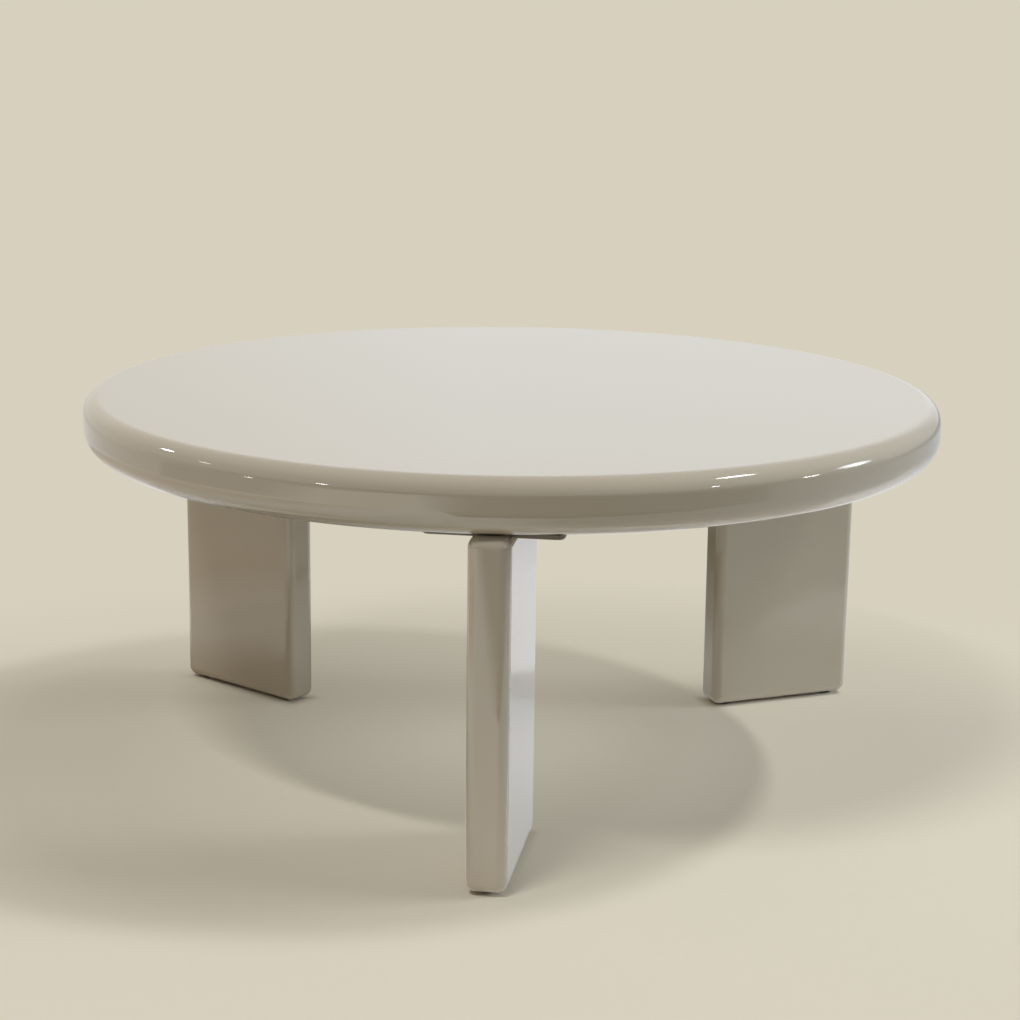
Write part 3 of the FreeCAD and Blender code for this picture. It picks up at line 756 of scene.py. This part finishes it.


# 1 under a leg and 0 away from it: there the floor's painted glow is left out, so that the foot stands in its
#                                   own dark contact line
def contactShade(tree, coords, index):
    place = legPlace(index)
    row = 900 + 600 * index
    fields = []
    for axis, half in ((0, leg["length"] / 2), (1, leg["width"] / 2)):
        way = place.to_3x3().col[axis]
        line = {"point": place.translation[:2], "turn": math.degrees(math.atan2(way.y, way.x))}
        height = row + 200 * axis
        field = lineField(tree, (-1500, height), coords, line)
        size = mathNode(tree, (-1100, height), "ABSOLUTE", field)
        fields.append(mathNode(tree, (-900, height), "SUBTRACT", size, half))
    outside = mathNode(tree, (-700, row), "MAXIMUM", *fields)
    return mapRange(tree, (-500, row), outside, -leg["rounding"], stageLook["contactReach"], 1.0, 0.0)


# share of glow, painted light that lightens the shadow: half under the middle, little at the rim of the
# shadow, none at the feet, all of it far off and behind the table, where it runs into the backdrop
def glowShare(tree, coords, away):
    near = mapRange(tree, (-700, 500), away, stageLook["innerRadius"], stageLook["outerRadius"],
                    stageLook["innerGlow"], stageLook["outerGlow"])
    share = mapRange(tree, (-500, 500), away, stageLook["shadowRadius"], stageLook["blendRadius"], near, 1.0)
    split = addNode(tree, "ShaderNodeSeparateXYZ", (-700, 200))
    tree.links.new(coords, split.inputs[0])
    share = mapRange(tree, (-300, 500), split.outputs["Y"], *stageLook["backReach"], share, 1.0)
    feet = contactShade(tree, coords, 0)
    for index in range(1, len(legNames)):
        feet = mathNode(tree, (-300, 900 + 200 * index), "MAXIMUM", feet, contactShade(tree, coords, index))
    clear = mathNode(tree, (-100, 900), "SUBTRACT", 1.0, feet)
    return mathNode(tree, (100, 600), "MULTIPLY", share, clear)


# camera, bounced light and gloss each find their own colour; for bounced light it is a painted fill, for the
# gloss a painted reflection
def floorColour(tree, row, colours, path, bounceLevel, glossLevel, tint):
    shades = []
    for step, (name, level) in enumerate((("bounce", bounceLevel), ("mirrored", glossLevel))):
        shade = addNode(tree, "ShaderNodeVectorMath", (100, row - 150 * step), operation="SCALE")
        shade.inputs[0].default_value = colours[name]
        tree.links.new(level, shade.inputs["Scale"])
        shades.append(shade.outputs[0])
    tinted = addNode(tree, "ShaderNodeVectorMath", (300, row - 150), operation="MULTIPLY")
    tree.links.new(shades[1], tinted.inputs[0])
    tree.links.new(tint, tinted.inputs[1])
    bounced = mixColours(tree, (300, row), path.outputs["Is Diffuse Ray"], colours["camera"], shades[0])
    return mixColours(tree, (500, row), path.outputs["Is Glossy Ray"], bounced, tinted.outputs[0])


def makeFloor():
    mesh = bpy.data.meshes.new("floor")
    size = stageLook["halfSize"]
    corners = [(-size, -size, 0), (size, -size, 0), (size, size, 0), (-size, size, 0)]
    mesh.from_pydata(corners, [], [(0, 1, 2, 3)])
    floor = bpy.data.objects.new("floor", mesh)
    bpy.context.scene.collection.objects.link(floor)
    material = bpy.data.materials.new("studioFloor")
    material.use_nodes = True
    mesh.materials.append(material)
    tree = material.node_tree
    tree.nodes.clear()
    links = tree.links
    coords = objectCoords(tree, (-1900, 0))
    distance = addNode(tree, "ShaderNodeVectorMath", (-1700, 200), operation="LENGTH")
    links.new(coords, distance.inputs[0])
    away = distance.outputs["Value"]

    path = addNode(tree, "ShaderNodeLightPath", (-100, 200))
    glossLevel, bounceLevel, warm = floorLevel(tree, coords, away)
    tint = mixColours(tree, (100, -900), warm, (1, 1, 1, 1), stageLook["warmTint"])
    paper, plain = (floorColour(tree, row, floorColours[kind], path, bounceLevel, glossLevel, tint)
                    for row, kind in ((-100, "paper"), (-500, "glow")))
    fine = noiseAt(tree, (300, -900), coords, stageLook["toothScale"], detail=4.0, roughness=0.6)
    tooth = mapRange(tree, (500, -900), fine, *stageLook["toothRange"], stageLook["toothLow"], 1.0)
    diffuse = addNode(tree, "ShaderNodeBsdfDiffuse", (900, -100))
    links.new(mixColours(tree, (700, -100), tooth, (0, 0, 0, 1), paper), diffuse.inputs["Color"])
    glow = addNode(tree, "ShaderNodeEmission", (900, -300))
    links.new(plain, glow.inputs["Color"])
    lit = addNode(tree, "ShaderNodeMixShader", (1100, 0))
    links.new(glowShare(tree, coords, away), lit.inputs[0])
    links.new(diffuse.outputs[0], lit.inputs[1])
    links.new(glow.outputs[0], lit.inputs[2])

    # from below the floor is clear, so that the underside can be looked at
    clear = addNode(tree, "ShaderNodeBsdfTransparent", (1100, -250))
    faceUp = addNode(tree, "ShaderNodeMixShader", (1300, 0))
    links.new(addNode(tree, "ShaderNodeNewGeometry", (1100, 300)).outputs["Backfacing"], faceUp.inputs[0])
    links.new(lit.outputs[0], faceUp.inputs[1])
    links.new(clear.outputs[0], faceUp.inputs[2])
    output = addNode(tree, "ShaderNodeOutputMaterial", (1500, 0))
    links.new(faceUp.outputs[0], output.inputs["Surface"])


makeFloor()
print("floor made")


# light: two high lamps for the shadows, a soft panel on the right and small lamps that the gloss mirrors

lamps = {
    "highRight": {"place": (2.83, 0.66, 5.28), "size": (0.9, 0.25), "power": 118.0, "mirrored": False,
                  "colour": (1.0, 0.99, 0.97)},
    "highLeft": {"place": (-1.93, -2.80, 5.71), "size": (2.2, 0.25), "power": 160.0, "mirrored": False,
                 "colour": (1.0, 0.98, 0.95)},
    "panelRight": {"place": (2.97, 0.12, 1.0), "size": (0.75, 0.6), "power": 22.5, "mirrored": False,
                   "colour": (0.80, 0.95, 1.06)},
    "glintRight": {"place": (1.51, -0.133, 0.70), "size": (0.35, 0.27), "power": 0.015, "mirrored": True,
                   "colour": (0.95, 1.0, 1.05), "aim": (0.357, -0.355, 0.43), "spread": 16.0},
    "streakRight": {"place": (3.31, -0.63, 4.38), "size": (1.0, 0.48), "power": 16.0, "mirrored": True},
    "sideRight": {"place": (2.89, -0.72, 0.67), "size": (0.3, 0.16), "power": 1.5, "mirrored": True},
    "lowRight": {"place": (2.56, -2.12, 1.30), "size": (0.13, 0.17), "power": 0.85, "mirrored": True},
    "backLeft": {"place": (-2.435, 0.50, 1.742), "size": (0.22, 0.2), "power": 2.2, "mirrored": True},
    "dimLeft": {"place": (-2.876, -0.459, 1.552), "size": (0.24, 0.1), "power": 0.32, "mirrored": True},
    "sideLeft": {"place": (-3.045, -1.542, 0.30), "size": (0.16, 0.12), "power": 0.5, "mirrored": True},
    "frontLeft": {"place": (-2.565, -2.65, 1.118), "size": (0.22, 0.18), "power": 1.3, "mirrored": True},
}
# holds where a lamp says nothing else
plainLamp = {"colour": (1.0, 1.0, 1.0), "aim": (0.0, 0.0, 0.4), "spread": 180.0}


def makeLamps():
    for name, own in lamps.items():
        lamp = {**plainLamp, **own}
        data = bpy.data.lights.new(name, "AREA")
        data.shape = "ELLIPSE"
        data.size, data.size_y = lamp["size"]
        data.energy = lamp["power"]
        data.spread = math.radians(lamp["spread"])
        data.color = lamp["colour"]
        holder = bpy.data.objects.new(name, data)
        holder.location = lamp["place"]
        way = Vector(lamp["aim"]) - Vector(lamp["place"])
        holder.rotation_euler = way.to_track_quat("-Z", "Y").to_euler()
        holder.visible_camera = False
        holder.visible_glossy = lamp["mirrored"]
        bpy.context.scene.collection.objects.link(holder)


# a far low light that only the floor gets, for the long shadows of the legs
skim = {"turn": 7.0, "rise": 13.0, "spread": 30.0, "strength": 1.15, "colour": (1.0, 0.98, 0.95)}


def makeSkim():
    data = bpy.data.lights.new("skim", "SUN")
    data.energy = skim["strength"]
    data.angle = math.radians(skim["spread"])
    data.color = skim["colour"]
    holder = bpy.data.objects.new("skim", data)
    holder.rotation_euler = (0, math.radians(90 - skim["rise"]), math.radians(skim["turn"]))
    holder.visible_glossy = False
    bpy.context.scene.collection.objects.link(holder)
    lit = bpy.data.collections.new("skimLights")
    lit.objects.link(bpy.data.objects["floor"])
    holder.light_linking.receiver_collection = lit


# walls and ceiling that the gloss mirrors, and the soft light of the room; a reach is where one colour turns
# into the next, along the x, y or z of the direction
studio = {
    "back": (0.825, 0.83, 0.80, 1), "backReach": (-0.35, 0.45),
    "left": (0.72, 0.68, 0.60, 1), "leftReach": (-0.04, -0.30),
    "right": (0.5, 0.49, 0.46, 1), "rightReach": (0.25, 0.5),
    "front": (0.45, 0.45, 0.44, 1), "frontLow": (0.08, 0.076, 0.07, 1), "frontReach": (0.06, 0.20),
    "ceiling": (0.40, 0.40, 0.39, 1), "ceilingReach": (0.35, 0.85),
    "ambientLeft": (0.26, 0.203, 0.14, 1), "ambientRight": (0.195, 0.205, 0.215, 1),
    "ambientReach": (-0.6, 0.6),
}


def makeStudio():
    world = bpy.data.worlds.new("studio")
    bpy.context.scene.world = world
    world.use_nodes = True
    tree = world.node_tree
    tree.nodes.clear()
    links = tree.links
    split = addNode(tree, "ShaderNodeSeparateXYZ", (-900, 0))
    links.new(addNode(tree, "ShaderNodeTexCoord", (-1100, 0)).outputs["Generated"], split.inputs[0])
    x, y, z = split.outputs
    onRight = mapRange(tree, (-700, 500), x, *studio["rightReach"], 0.0, 1.0)
    onLeft = mapRange(tree, (-700, 200), x, *studio["leftReach"], 0.0, 1.0)
    behind = mapRange(tree, (-700, -100), y, *studio["backReach"], 0.0, 1.0)
    raised = mapRange(tree, (-700, -400), z, *studio["frontReach"], 0.0, 1.0)
    above = mapRange(tree, (-700, -700), z, *studio["ceilingReach"], 0.0, 1.0)
    across = mapRange(tree, (-700, -1000), x, *studio["ambientReach"], 0.0, 1.0)
    front = mixColours(tree, (-300, -200), raised, studio["frontLow"], studio["front"])
    leftBack = mixColours(tree, (-500, 200), onLeft, studio["back"], studio["left"])
    back = mixColours(tree, (-300, 200), onRight, leftBack, studio["right"])
    walls = mixColours(tree, (-100, 100), behind, front, back)
    mirrored = addNode(tree, "ShaderNodeBackground", (300, 0))
    links.new(mixColours(tree, (100, 0), above, walls, studio["ceiling"]), mirrored.inputs["Color"])
    ambient = addNode(tree, "ShaderNodeBackground", (300, -200))
    soft = mixColours(tree, (100, -250), across, studio["ambientLeft"], studio["ambientRight"])
    links.new(soft, ambient.inputs["Color"])
    plain = addNode(tree, "ShaderNodeBackground", (500, 200))
    plain.inputs["Color"].default_value = floorColours["glow"]["camera"]

    # gloss finds the walls, the camera finds the plain backdrop, and all else the soft light
    path = addNode(tree, "ShaderNodeLightPath", (100, 600))
    unseen = addNode(tree, "ShaderNodeMixShader", (500, 0))
    links.new(path.outputs["Is Glossy Ray"], unseen.inputs[0])
    links.new(ambient.outputs[0], unseen.inputs[1])
    links.new(mirrored.outputs[0], unseen.inputs[2])
    seen = mathNode(tree, (300, 500), "MAXIMUM", path.outputs["Is Camera Ray"],
                    path.outputs["Is Transmission Ray"])
    whole = addNode(tree, "ShaderNodeMixShader", (700, 0))
    links.new(seen, whole.inputs[0])
    links.new(unseen.outputs[0], whole.inputs[1])
    links.new(plain.outputs[0], whole.inputs[2])
    output = addNode(tree, "ShaderNodeOutputWorld", (900, 0))
    links.new(whole.outputs[0], output.inputs["Surface"])


makeLamps()
makeSkim()
makeStudio()
bpy.context.scene.view_settings.view_transform = "Standard"
print("light made:", len(lamps), "lamps")


# camera at the photograph's viewing angle

eye = {"place": (0.0473, -2.6940, 0.9279), "turn": 1.026, "tilt": 13.22, "lean": 0.716,
       "focalPixels": 2276.6, "imagePixels": 1020, "sensorMm": 36.0, "farLimit": 100.0}


def makeCamera():
    data = bpy.data.cameras.new("camera")
    data.sensor_width = eye["sensorMm"]
    data.lens = eye["focalPixels"] / eye["imagePixels"] * eye["sensorMm"]
    data.clip_end = eye["farLimit"]
    camera = bpy.data.objects.new("camera", data)
    heading = Matrix.Rotation(math.radians(eye["turn"]), 4, "Z")
    dip = Matrix.Rotation(math.radians(90 - eye["tilt"]), 4, "X")
    lean = Matrix.Rotation(math.radians(eye["lean"]), 4, "Z")
    camera.matrix_world = Matrix.Translation(eye["place"]) @ heading @ dip @ lean
    bpy.context.scene.collection.objects.link(camera)
    bpy.context.scene.camera = camera


makeCamera()
print("camera made")
